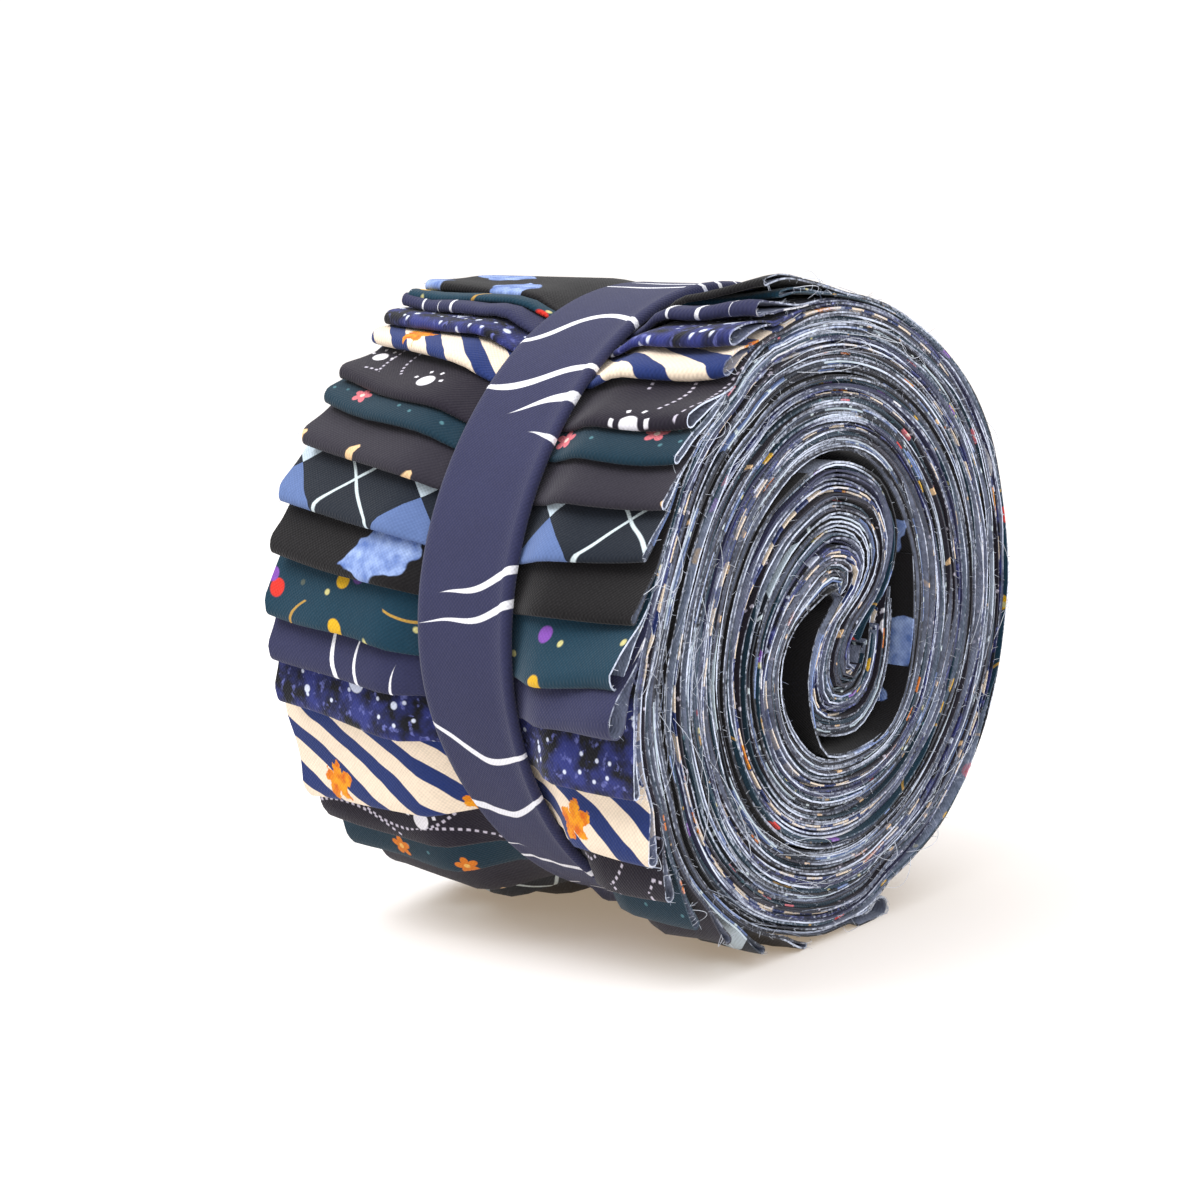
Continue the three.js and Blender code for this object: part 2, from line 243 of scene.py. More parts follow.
# Printed quilting cotton
# A plain weave of fine cotton threads, printed with reactive ink on one side. The ink soaks through weakly,
# so the wrong side is pale, and where the cloth is cut the bare threads fray to a greyish white.
THREAD_PITCH = 0.58
PALE_THREAD = (224, 232, 250)
WRONG_SIDE = (168, 176, 198)
DEPTH_OF_DYE = 1.2


def ink(red, green, blue):
    """A colour as linear light, from the 0 to 255 values that a dyer's card gives."""
    def light(value):
        share = value / 255
        linear = share / 12.92 if share <= 0.04045 else ((share + 0.055) / 1.055) ** 2.4
        return linear ** DEPTH_OF_DYE
    return (light(red), light(green), light(blue), 1.0)


def put(tree, kind, *values, out=None, **settings):
    """Adds a shader node, fills its sockets in order and returns one of its outputs."""
    node = tree.nodes.new("ShaderNode" + kind)
    for setting, value in settings.items():
        setattr(node, setting, value)
    for socket, value in zip(node.inputs, values):
        if isinstance(value, bpy.types.NodeSocket):
            tree.links.new(value, socket)
        elif value is not None:
            socket.default_value = value
    return node.outputs[out or 0]


def calc(tree, operation, *values):
    return put(tree, "Math", *values, operation=operation)


def blend(tree, share, under, over):
    """One colour over another by a share."""
    node = tree.nodes.new("ShaderNodeMix")
    node.data_type = "RGBA"
    for socket, value in zip((node.inputs[0], node.inputs[6], node.inputs[7]), (share, under, over)):
        if isinstance(value, bpy.types.NodeSocket):
            tree.links.new(value, socket)
        else:
            socket.default_value = value
    return node.outputs[2]


def below(tree, value, edge, soft):
    """1 where a value is below an edge, falling softly to 0 past it."""
    return put(tree, "MapRange", value, edge + soft, edge - soft, 0.0, 1.0, interpolation_type="SMOOTHSTEP")


def both(tree, one, other):
    return calc(tree, "MULTIPLY", one, other)


def noise(tree, place, scale, detail=2.0, out="Fac"):
    spread = put(tree, "VectorMath", place, (scale, scale, scale), operation="MULTIPLY")
    return put(tree, "TexNoise", spread, None, 1.0, detail, out=out)


def group_of(name, takes, gives):
    """A new shader node group with named inputs and outputs."""
    tree = bpy.data.node_groups.new(name, "ShaderNodeTree")
    for label, kind in takes:
        tree.interface.new_socket(label, in_out="INPUT", socket_type="NodeSocket" + kind)
    for label, kind in gives:
        tree.interface.new_socket(label, in_out="OUTPUT", socket_type="NodeSocket" + kind)
    return tree, tree.nodes.new("NodeGroupInput").outputs, tree.nodes.new("NodeGroupOutput").inputs


weave, taken, given = group_of(
    "cotton_weave",
    [("Cloth", "Vector"), ("Print", "Color"), ("Printed", "Float"), ("Cut", "Float")],
    [("Color", "Color"), ("Roughness", "Float"), ("Height", "Float")],
)
turned = put(weave, "VectorMath", taken["Cloth"], (2 * math.pi / THREAD_PITCH,) * 3, operation="MULTIPLY")
split = weave.nodes.new("ShaderNodeSeparateXYZ")
weave.links.new(turned, split.inputs[0])
crossing = both(weave, calc(weave, "SINE", split.outputs[0]), calc(weave, "SINE", split.outputs[1]))
slub = noise(weave, taken["Cloth"], 1.1, 3.0)
mottle = noise(weave, taken["Cloth"], 0.16, 2.0)
lint = noise(weave, taken["Cloth"], 3.4, 2.0)
thread_height = calc(weave, "MULTIPLY_ADD", crossing, 0.5, calc(weave, "MULTIPLY", slub, 0.9))
tone = calc(weave, "MULTIPLY_ADD", crossing, 0.08, 0.68)
tone = calc(weave, "MULTIPLY_ADD", slub, 0.16, tone)
tone = calc(weave, "MULTIPLY_ADD", mottle, 0.14, tone)
toned_print = weave.nodes.new("ShaderNodeVectorMath")
toned_print.operation = "SCALE"
weave.links.new(taken["Print"], toned_print.inputs[0])
weave.links.new(tone, toned_print.inputs["Scale"])
wrong_share = put(weave, "MapRange", calc(weave, "ADD", mottle, slub), 0.75, 1.25, 0.35, 0.85)
soaked = blend(weave, wrong_share, toned_print.outputs[0], ink(*WRONG_SIDE))
face_colour = blend(weave, taken["Printed"], soaked, toned_print.outputs[0])
stretched = put(weave, "VectorMath", taken["Cloth"], (1.0, 0.15, 0.15), operation="MULTIPLY")
fray = noise(weave, stretched, 1.6, 4.0)
streak = noise(weave, taken["Cloth"], 0.045, 2.0)
whiteness = calc(weave, "ADD", fray, calc(weave, "MULTIPLY_ADD", streak, 2.6, -1.3))
bare = put(weave, "MapRange", whiteness, 0.5, 0.98, 0.04, 1.0)
cut_colour = blend(weave, bare, toned_print.outputs[0], ink(*PALE_THREAD))
colour = blend(weave, taken["Cut"], face_colour, cut_colour)
weave.links.new(colour, given["Color"])
weave.links.new(put(weave, "MapRange", lint, 0.3, 0.7, 0.8, 0.95), given["Roughness"])
weave.links.new(thread_height, given["Height"])


def cotton(name, draw_print):
    """The material of one print: draw_print adds its nodes and returns its colour."""
    material = bpy.data.materials.new(name)
    material.use_nodes = True
    tree = material.node_tree
    cloth = put(tree, "Attribute", attribute_name="cloth", out="Vector")
    printed = put(tree, "Attribute", attribute_name="printed", out="Fac")
    cut = put(tree, "Attribute", attribute_name="cut", out="Fac")
    look = tree.nodes.new("ShaderNodeGroup")
    look.node_tree = weave
    values = {"Cloth": cloth, "Print": draw_print(tree, cloth), "Printed": printed, "Cut": cut}
    for label, value in values.items():
        if isinstance(value, bpy.types.NodeSocket):
            tree.links.new(value, look.inputs[label])
        else:
            look.inputs[label].default_value = value
    shader = tree.nodes["Principled BSDF"]
    shader.inputs["Specular IOR Level"].default_value = 0.25
    shader.inputs["Sheen Weight"].default_value = 0.12
    shader.inputs["Sheen Roughness"].default_value = 0.5
    bump = tree.nodes.new("ShaderNodeBump")
    bump.inputs["Strength"].default_value = 0.6
    bump.inputs["Distance"].default_value = 0.00009
    tree.links.new(look.outputs["Color"], shader.inputs["Base Color"])
    tree.links.new(look.outputs["Roughness"], shader.inputs["Roughness"])
    tree.links.new(look.outputs["Height"], bump.inputs["Height"])
    tree.links.new(bump.outputs[0], shader.inputs["Normal"])
    return material


def scatter(tree, cloth, size, start, spread=0.9):
    """Motifs strewn about one to a cell: the place within each motif, and three random numbers."""
    moved = put(tree, "VectorMath", cloth, (start, 1.7 * start, 0), operation="ADD")
    scaled = put(tree, "VectorMath", moved, (1 / size, 1 / size, 0), operation="MULTIPLY")
    cells = tree.nodes.new("ShaderNodeTexVoronoi")
    cells.voronoi_dimensions = "2D"
    tree.links.new(scaled, cells.inputs["Vector"])
    cells.inputs["Scale"].default_value = 1.0
    cells.inputs["Randomness"].default_value = spread
    off = put(tree, "VectorMath", scaled, cells.outputs["Position"], operation="SUBTRACT")
    local = put(tree, "VectorMath", off, (size, size, 0), operation="MULTIPLY")
    chance = tree.nodes.new("ShaderNodeSeparateColor")
    tree.links.new(cells.outputs["Color"], chance.inputs[0])
    return local, chance.outputs


def turned_by(tree, local, angle):
    return put(tree, "VectorRotate", local, (0, 0, 0), (0, 0, 1), angle, rotation_type="Z_AXIS")


def parts_of(tree, vector):
    node = tree.nodes.new("ShaderNodeSeparateXYZ")
    tree.links.new(vector, node.inputs[0])
    return node.outputs[0], node.outputs[1]


def polar(tree, local):
    """How far a place is from its motif's middle, and in which direction."""
    u, v = parts_of(tree, local)
    return put(tree, "VectorMath", local, operation="LENGTH", out="Value"), calc(tree, "ARCTAN2", v, u)


def petals(tree, local, count, radius, soft=0.12):
    """A small flower: 1 inside its petals."""
    far, way = polar(tree, local)
    lobes = calc(tree, "ABSOLUTE", calc(tree, "COSINE", calc(tree, "MULTIPLY", way, count / 2)))
    reach = calc(tree, "MULTIPLY_ADD", lobes, radius * 0.5, radius * 0.55)
    return below(tree, calc(tree, "SUBTRACT", far, reach), 0.0, soft)


def night_leaf(tree, cloth):
    drift = noise(tree, cloth, 0.3, 1.5, "Color")
    wobble = put(tree, "VectorMath", drift, (4.0, 4.0, 0), operation="MULTIPLY")
    local, chance = scatter(tree, put(tree, "VectorMath", cloth, wobble, operation="ADD"), 17.0, 3.0)
    u, v = parts_of(tree, turned_by(tree, local, calc(tree, "MULTIPLY", chance[0], 6.28)))
    taper = calc(tree, "MULTIPLY_ADD", calc(tree, "MULTIPLY", u, u), -0.09, 3.6)
    leaf = below(tree, calc(tree, "SUBTRACT", calc(tree, "ABSOLUTE", v), taper), 0.0, 0.2)
    wash = put(tree, "MapRange", noise(tree, cloth, 0.5, 3.0), 0.35, 0.7)
    blue = blend(tree, wash, ink(112, 138, 196), ink(178, 198, 238))
    return blend(tree, both(tree, leaf, below(tree, chance[1], 0.6, 0.01)), ink(22, 17, 22), blue)


def meadow_dot(tree, cloth):
    colour = ink(18, 70, 90)
    local, chance = scatter(tree, cloth, 19.0, 9.0)
    u, v = parts_of(tree, turned_by(tree, local, calc(tree, "MULTIPLY", chance[0], 6.28)))
    bend = calc(tree, "ABSOLUTE", calc(tree, "MULTIPLY_ADD", calc(tree, "MULTIPLY", u, u), 0.07, v))
    stem = both(tree, below(tree, bend, 0.2, 0.08), below(tree, calc(tree, "ABSOLUTE", u), 5.5, 0.1))
    colour = blend(tree, stem, colour, ink(196, 160, 84))
    for size, start, radius, spot in (
        (9.5, 4.0, 1.15, (228, 186, 40)), (15.0, 31.0, 1.3, (226, 66, 52)), (13.0, 57.0, 1.1, (150, 96, 190)),
        (5.2, 71.0, 0.42, (214, 208, 150)),
    ):
        local, chance = scatter(tree, cloth, size, start)
        far = put(tree, "VectorMath", local, operation="LENGTH", out="Value")
        dot = both(tree, below(tree, far, radius, 0.14), below(tree, chance[0], 0.6, 0.01))
        colour = blend(tree, dot, colour, ink(*spot))
    return colour


def white_line(tree, cloth):
    u, v = parts_of(tree, cloth)
    sway = calc(tree, "MULTIPLY_ADD", noise(tree, cloth, 0.028, 1.0), 25.0, v)
    lane = calc(tree, "DIVIDE", calc(tree, "MULTIPLY_ADD", noise(tree, cloth, 0.09, 0.0), 4.0, sway), 4.4)
    number = calc(tree, "FLOOR", lane)
    off = calc(tree, "ABSOLUTE", calc(tree, "SUBTRACT", calc(tree, "FRACT", lane), 0.5))
    start = put(tree, "TexWhiteNoise", None, number, noise_dimensions="1D")
    way = calc(tree, "DIVIDE", calc(tree, "MULTIPLY_ADD", start, 30.0, u), 44.0)
    cell = put(tree, "CombineXYZ", number, calc(tree, "FLOOR", way))
    chance = put(tree, "TexWhiteNoise", cell, noise_dimensions="2D")
    in_patch = below(tree, noise(tree, cell, 0.23, 0.0), 0.53, 0.001)
    shown = both(tree, in_patch, below(tree, chance, 0.8, 0.001))
    reach = calc(tree, "MULTIPLY_ADD", chance, -0.3, 0.46)
    run = calc(tree, "DIVIDE", calc(tree, "SUBTRACT", calc(tree, "FRACT", way), 0.5), reach)
    width = calc(tree, "MULTIPLY_ADD", both(tree, run, run), -0.125, 0.125)
    line = below(tree, calc(tree, "SUBTRACT", off, width), 0.0, 0.014)
    return blend(tree, both(tree, line, shown), ink(62, 64, 99), ink(246, 246, 252))


def starry_speck(tree, cloth):
    cloud = noise(tree, cloth, 0.26, 5.0)
    deep = blend(tree, put(tree, "MapRange", cloud, 0.42, 0.6), ink(25, 26, 38), ink(62, 70, 138))
    bright = put(tree, "MapRange", noise(tree, cloth, 0.9, 3.0), 0.58, 0.7)
    colour = blend(tree, bright, deep, ink(122, 128, 190))
    for size, start, radius in ((2.7, 5.0, 0.26), (6.5, 44.0, 0.5), (13.0, 67.0, 1.35)):
        local, chance = scatter(tree, cloth, size, start)
        far = put(tree, "VectorMath", local, operation="LENGTH", out="Value")
        dot = both(tree, below(tree, far, radius, 0.12), below(tree, chance[0], 0.55, 0.01))
        colour = blend(tree, dot, colour, ink(226, 232, 250))
    return colour


def cream_stripe(tree, cloth):
    u, v = parts_of(tree, cloth)
    slant = calc(tree, "ADD", u, calc(tree, "MULTIPLY", v, 0.72))
    slant = calc(tree, "MULTIPLY_ADD", noise(tree, cloth, 0.2, 1.0), 1.0, slant)
    place = calc(tree, "FRACT", calc(tree, "DIVIDE", slant, 6.7))
    stripe = below(tree, calc(tree, "ABSOLUTE", calc(tree, "SUBTRACT", place, 0.5)), 0.23, 0.012)
    colour = blend(tree, stripe, ink(250, 234, 214), ink(44, 66, 126))
    drift = noise(tree, cloth, 0.9, 3.0, "Color")
    wobble = put(tree, "VectorMath", drift, (2.4, 2.4, 0), operation="MULTIPLY")
    local, chance = scatter(tree, put(tree, "VectorMath", cloth, wobble, operation="ADD"), 22.0, 18.0)
    bloom = both(tree, petals(tree, local, 5, 2.7), below(tree, chance[0], 0.85, 0.01))
    warmth = put(tree, "MapRange", noise(tree, cloth, 0.7, 3.0), 0.4, 0.65)
    gold = blend(tree, warmth, ink(248, 176, 22), ink(226, 120, 20))
    return blend(tree, bloom, colour, gold)


def plum_arc(tree, cloth):
    local, chance = scatter(tree, cloth, 26.0, 27.0, 0.8)
    local = turned_by(tree, local, calc(tree, "MULTIPLY", chance[0], 6.28))
    far, way = polar(tree, local)
    colour = ink(44, 37, 53)
    for radius, upto in ((15.0, 2.6), (9.5, 2.2), (5.5, 1.4)):
        beads = round(2 * math.pi * radius / 1.05)
        bead = below(tree, calc(tree, "SINE", calc(tree, "MULTIPLY", way, float(beads))), 0.0, 0.5)
        track = below(tree, calc(tree, "ABSOLUTE", calc(tree, "SUBTRACT", far, radius)), 0.2, 0.1)
        reach = below(tree, calc(tree, "ABSOLUTE", way), upto, 0.01)
        colour = blend(tree, both(tree, both(tree, bead, track), reach), colour, ink(214, 208, 222))
    local, chance = scatter(tree, cloth, 17.0, 61.0, 0.7)
    far, way = polar(tree, local)
    middle = below(tree, far, 1.35, 0.12)
    spray = both(tree, below(tree, calc(tree, "COSINE", calc(tree, "MULTIPLY", way, 7.0)), -0.75, 0.12),
                 below(tree, calc(tree, "ABSOLUTE", way), 1.6, 0.01))
    ring = both(tree, below(tree, calc(tree, "ABSOLUTE", calc(tree, "SUBTRACT", far, 2.5)), 0.3, 0.1), spray)
    shown = below(tree, chance[0], 0.7, 0.01)
    return blend(tree, both(tree, calc(tree, "MAXIMUM", middle, ring), shown), colour, ink(246, 244, 250))


def small_flowers(ground, petal, heart):
    def drawn(tree, cloth):
        colour = ink(*ground)
        local, chance = scatter(tree, cloth, 3.6, 91.0)
        far = put(tree, "VectorMath", local, operation="LENGTH", out="Value")
        fleck = both(tree, below(tree, far, 0.28, 0.1), below(tree, chance[0], 0.35, 0.01))
        colour = blend(tree, fleck, colour, ink(96, 140, 150))
        local, chance = scatter(tree, cloth, 11.5, 36.0)
        shown = below(tree, chance[0], 0.75, 0.01)
        colour = blend(tree, both(tree, petals(tree, local, 5, 1.65), shown), colour, ink(*petal))
        far = put(tree, "VectorMath", local, operation="LENGTH", out="Value")
        return blend(tree, both(tree, below(tree, far, 0.42, 0.1), shown), colour, ink(*heart))
    return drawn


def charcoal_dash(tree, cloth):
    local, chance = scatter(tree, cloth, 11.0, 8.0, 0.55)
    lean = calc(tree, "MULTIPLY_ADD", chance[1], 0.5, -1.15)
    u, v = parts_of(tree, turned_by(tree, local, lean))
    width = calc(tree, "MULTIPLY_ADD", calc(tree, "ABSOLUTE", u), -0.2, 0.6)
    dash = both(
        tree, below(tree, calc(tree, "SUBTRACT", calc(tree, "ABSOLUTE", v), width), 0.0, 0.1),
        below(tree, calc(tree, "ABSOLUTE", u), 1.9, 0.1),
    )
    shown = both(tree, dash, below(tree, chance[0], 0.7, 0.01))
    return blend(tree, shown, ink(60, 56, 68), ink(246, 212, 168))


def argyle(tree, cloth):
    u, v = parts_of(tree, cloth)
    lean = calc(tree, "DIVIDE", u, 26.0)
    across = calc(tree, "DIVIDE", v, 23.2)
    one, other = calc(tree, "ADD", across, lean), calc(tree, "SUBTRACT", across, lean)
    row = calc(tree, "SUBTRACT", calc(tree, "FLOOR", one), calc(tree, "FLOOR", other))
    odd = calc(tree, "FLOORED_MODULO", row, 2.0)
    fourth = calc(tree, "FLOORED_MODULO", row, 4.0)
    pale = below(tree, calc(tree, "ABSOLUTE", calc(tree, "SUBTRACT", fourth, 1.0)), 0.5, 0.1)
    colour = blend(tree, odd, ink(34, 44, 58), blend(tree, pale, ink(112, 134, 180), ink(212, 226, 236)))
    wobble = calc(tree, "MULTIPLY_ADD", noise(tree, cloth, 0.12, 1.0), 0.1, 0.45)
    for line in (one, other):
        near = calc(tree, "SUBTRACT", calc(tree, "FRACT", line), wobble)
        on_line = below(tree, calc(tree, "ABSOLUTE", near), 0.014, 0.005)
        colour = blend(tree, on_line, colour, ink(224, 236, 240))
    return colour


def plain_ink(tree, cloth):
    return ink(40, 36, 44)


prints = {
    "night_leaf": cotton("night_leaf", night_leaf),
    "meadow_dot": cotton("meadow_dot", meadow_dot),
    "white_line": cotton("white_line", white_line),
    "starry_speck": cotton("starry_speck", starry_speck),
    "cream_stripe": cotton("cream_stripe", cream_stripe),
    "plum_arc": cotton("plum_arc", plum_arc),
    "pink_flower": cotton("pink_flower", small_flowers((17, 62, 80), (226, 132, 142), (250, 224, 214))),
    "orange_flower": cotton("orange_flower", small_flowers((17, 62, 80), (232, 142, 40), (250, 206, 120))),
    "charcoal_dash": cotton("charcoal_dash", charcoal_dash),
    "argyle": cotton("argyle", argyle),
    "plain_ink": cotton("plain_ink", plain_ink),
}


# The twenty strips
# Each is one piece of quilting cotton 2.5 inches wide and about 1.1 m long, printed on one side, with frayed
# cut edges. It is folded in half with the print outwards and lies on the strip that is wound in before it.
CLOTH, THINNEST = 0.27, 0.1
LAYER_FILL = 0.88
COARSE_STEP, FINE_STEP, FINE_LENGTH = 2.6, 0.8, 13.0
NOSE_STEPS = 7
NOSE_SHARPNESS, NOSE_ROOM = 1.25, 0.1
SHINGLE_RISE = 1.1
# Along a strip from its fold: where its mound and its lifted corners fade out, and how far its fold gapes
MOUND_FROM, MOUND_TO = 0.5, 9.5
LIFT_FROM, LIFT_TO = 2, 20
GAPE_LENGTH, NEAR_GAPE_LENGTH = 3.4, 1.6
# From this radius on, a strip is near the rim, and only there its fold rises
OUTER_TURN = 38
SLIDE_RUN = 45
HOOK_RECESS = 3.0
RECESS_FROM, RECESS_TO = SPIRAL_FROM - 130, SPIRAL_FROM - 30
BOW_AT = 3.0
EDGE_SLIP = 1.3
STRIP_SEED = 100
# Where an outer layer has slipped back and bares the wrong side of the one below: strip, turn angle, how far
# it reaches to either side in degrees, how far it has slipped
SLIPPED = [(1, 592, 26, 2.4), (7, 560, 30, 1.5), (12, 536, 24, 1.4), (4, 470, 22, 1.3), (9, 640, 26, 1.2)]
# Where the columns of a strip's surface lie across it, closer together at its edges and beside the band
ACROSS = np.array([
    -31.75, -31.3, -29.5, -26, -22, -18, -14.5, -11.5, -9, -7, -5, -2, 4, 9,
    12.5, 14.5, 16.5, 18.5, 21, 24, 27, 29.8, 31.3, 31.75,
])
near_corner = smooth(13, HALF, ACROSS) ** 1.5
far_corner = smooth(9, HALF, -ACROSS) ** 2


def table_at(table, angle):
    """A value of a table with a row a degree, at any angles."""
    return np.interp(angle, wound, table)


def wavy(seed, at, waves, size):
    """A slow random wave along a length, from a few sines."""
    pick = np.random.default_rng(seed)
    total = np.zeros(np.shape(at))
    for wave in waves:
        height = pick.normal()
        turns = at / wave / pick.uniform(0.8, 1.25) + pick.random()
        total = total + height * np.sin(2 * math.pi * turns)
    return size * total / math.sqrt(len(waves))


def layer_line(layer, angle):
    """The middle of one layer of cloth at turn angles, before the band and the ends move it."""
    share = table_at(layer_share[layer], angle)[..., None]
    inner = np.stack([table_at(inner_line[:, i], angle) for i in (0, 1)], -1)
    outer = np.stack([table_at(outer_line[:, i], angle) for i in (0, 1)], -1)
    line = inner + share * (outer - inner)
    if layer < 2:
        joins = HOOK_FROM + HOOK_STEP * 7.5
        place = np.clip((angle - HOOK_FROM) / (joins - HOOK_FROM), 0, 1) * (len(STRAY_END) - 1)
        stray = through(STRAY_END, place.ravel()).reshape(place.shape + (2,))
        toward = (core - stray) / np.linalg.norm(core - stray, axis=-1, keepdims=True)
        stray = stray + toward * (0.15 + 0.3 * layer)
        in_stack = smooth(joins - 14, joins + 10, angle)[..., None]
        line = stray * (1 - in_stack) + line * in_stack
    return line


def steps_along(layer, start, tip):
    """Turn angles along a layer, from its cut end to its fold, finer near the fold."""
    fine = np.arange(start, tip, 0.5)
    line = layer_line(layer, fine)
    length = np.concatenate([[0], np.cumsum(np.linalg.norm(np.diff(line, axis=0), axis=1))])
    coarse_to = length[-1] - FINE_LENGTH
    count = int(coarse_to / COARSE_STEP)
    wanted = np.concatenate([
        np.linspace(0, coarse_to, count, endpoint=False),
        np.linspace(coarse_to, length[-1], int(FINE_LENGTH / FINE_STEP) + 1),
    ])
    return np.interp(wanted, length, fine)


def layer_surface(number, layer, start, tip_at, open_by):
    """One layer of a strip, from its cut end to its fold: the turn angles and the places of its rows."""
    tip = mid_folds[number]
    angles = steps_along(layer, start, tip)
    slide = smooth(tip - SLIDE_RUN, tip, angles)[:, None]
    grid_angle = angles[:, None] + slide * (tip_at - tip)
    out = layer_line(layer, grid_angle) - core
    radius = np.linalg.norm(out, axis=-1)
    on_rim = radius > OUTER_TURN
    from_tip = np.radians(tip_at - grid_angle) * rim_radius(tip)
    x = np.broadcast_to(ACROSS, radius.shape)
    pressed = drawn_in(radius, grid_angle, x)
    freely = (1 - 0.8 * pressed / groove_depth(grid_angle)) * on_rim
    lift = FOLDS[number][3]
    rise = lift * (near_corner + 0.15 * far_corner) * (1 - smooth(LIFT_FROM, LIFT_TO, from_tip)) * on_rim
    mound = (1 - smooth(MOUND_FROM, MOUND_TO, from_tip)) * freely
    rise = rise + mound * (SHINGLE_RISE + wavy(STRIP_SEED + 10 * number + 2, x, (14, 27), 0.2))
    is_outer = layer % 2 == 1
    if is_outer:
        gape_length = GAPE_LENGTH + NEAR_GAPE_LENGTH * near_corner
        rise = rise + open_by * np.exp(-(from_tip / gape_length) ** 2) * on_rim
    radius_new = radius + rise - pressed - dented(radius, grid_angle, x)
    way = out / np.maximum(radius, 1e-6)[..., None]
    return grid_angle, core + way * radius_new[..., None]


def fold_nose(low, high):
    """The rounded fold between the ends of two layers."""
    beta = np.linspace(math.pi, 0, NOSE_STEPS + 2)[1:-1, None, None]
    middle, half_gap = (low + high) / 2, (high - low) / 2
    depth = np.linalg.norm(half_gap, axis=-1, keepdims=True)
    forward = np.stack([-half_gap[:, 1], half_gap[:, 0]], -1) / np.maximum(depth, 1e-6)
    return middle + half_gap * np.cos(beta) + forward * (depth * NOSE_SHARPNESS + NOSE_ROOM) * np.sin(beta)


def edge_shift(number, pick, along, turn):
    """How far each row of a strip has slipped along the roll."""
    seed = STRIP_SEED + 10 * number
    shift = pick.normal() * 0.16
    shift = shift + wavy(seed + 3, along, (150, 70), 0.26)
    shift = shift + wavy(seed + 4, along, (26, 13), 0.12)
    held_back = [
        np.maximum(wavy(seed + 5 + side, along, (95, 150), 1.0) - 0.35, 0) * EDGE_SLIP for side in (0, 1)
    ]
    shift = shift - np.where(along > 0, *held_back) * smooth(4, 26, np.abs(along))
    for slipped_strip, angle, spread, distance in SLIPPED:
        if slipped_strip == number:
            shift = shift - np.where(along > 0, distance, 0) * np.exp(-((turn.mean(1) - angle) / spread) ** 2)
    return shift


def strip_grid(number):
    """The middle surface of one folded strip, its length along itself from the fold, and its thickness.

    Its rows run from one cut end round the fold to the other, and its columns across the strip.
    """
    bow, _, near_gape, gape = FOLDS[number][2:6]
    pick = np.random.default_rng(STRIP_SEED + 10 * number)
    inner_layer = 2 * (STRIPS - 1 - number)
    tip = mid_folds[number]
    tip_radius = rim_radius(tip)
    tip_press = drawn_in(tip_radius, np.full(len(ACROSS), tip), ACROSS) / groove_depth(tip)
    open_by = (gape + (near_gape - gape) * near_corner + 0.4 * far_corner) * (1 - 0.7 * tip_press)
    nose_length = (open_by + 0.3) / 2 * NOSE_SHARPNESS + NOSE_ROOM
    half_way = (near_folds[number] - far_folds[number]) / 2
    tip_wave = wavy(STRIP_SEED + 10 * number + 1, ACROSS, (22, 40), 0.22)
    bow_length = np.where(ACROSS > BOW_AT, HALF - BOW_AT, HALF + BOW_AT)
    bowed = bow * (1 - (np.abs(ACROSS - BOW_AT) / bow_length) ** 2)
    tip_at = tip + half_way * ACROSS / HALF + bowed + np.degrees((tip_wave - nose_length) / tip_radius)
    parts = []
    for layer in (inner_layer, inner_layer + 1):
        cut_end = np.interp(layer + 1, HOOK[:, 4], hook_angles)
        start = max(cut_end + pick.uniform(-4, 14), HOOK_FROM + 1)
        parts.append(layer_surface(number, layer, start, tip_at, open_by))
    (inner_angle, inner), (outer_angle, outer) = parts
    plane = np.vstack([inner, fold_nose(inner[-1], outer[-1]), outer[::-1]])
    turn = np.vstack([inner_angle, np.broadcast_to(tip_at, (NOSE_STEPS, len(ACROSS))), outer_angle[::-1]])
    fold_row = len(inner) + NOSE_STEPS // 2
    step = np.linalg.norm(np.diff(plane[:, len(ACROSS) // 2], axis=0), axis=1)
    along = np.concatenate([[0], np.cumsum(step)])
    along -= along[fold_row]
    shift = edge_shift(number, pick, along, turn)
    corner = 1 - smooth(0, 2.0, np.abs(along))
    squeeze = (0.4 * corner)[:, None] * smooth(0, HALF, ACROSS)
    squeeze = squeeze - (0.6 * corner)[:, None] * smooth(0, HALF, -ACROSS)
    recess = HOOK_RECESS * (1 - smooth(RECESS_FROM, RECESS_TO, turn))
    if number == STRIPS - 1:
        recess = 0
    grid = np.empty(plane.shape[:2] + (3,))
    grid[..., 0] = ACROSS + shift[:, None] - squeeze - recess
    grid[..., 1:] = plane
    grid[..., 2] = np.maximum(grid[..., 2], CLOTH / 2)
    layer_of = np.where(np.arange(len(plane)) < fold_row, inner_layer, inner_layer + 1)
    thick = np.empty(plane.shape[:2])
    for layer in (inner_layer, inner_layer + 1):
        rows = layer_of == layer
        thick[rows] = np.clip(LAYER_FILL * table_at(layer_pitch[layer], turn[rows]), THINNEST, CLOTH)
    return grid, along, thick


def sheet_faces(rows, cols):
    """The faces of a closed sheet: its printed side, its wrong side and its cut edges."""
    n = rows * cols
    i = np.arange(rows - 1)[:, None]
    j = np.arange(cols - 1)[None, :]
    a, b, c, d = i * cols + j, i * cols + j + 1, (i + 1) * cols + j + 1, (i + 1) * cols + j
    printed = np.stack([a, d, c, b], -1).reshape(-1, 4)
    wrong = np.stack([a, b, c, d], -1).reshape(-1, 4) + n
    low = i.ravel() * cols
    high = low + cols
    first_side = np.stack([low, low + n, high + n, high], -1)
    last_side = np.stack([low, high, high + n, low + n], -1) + cols - 1
    j = j.ravel()
    first_end = np.stack([j, j + 1, j + 1 + n, j + n], -1)
    last_end = first_end[:, ::-1] + (rows - 1) * cols
    return printed, wrong, np.vstack([first_side, last_side, first_end, last_end])


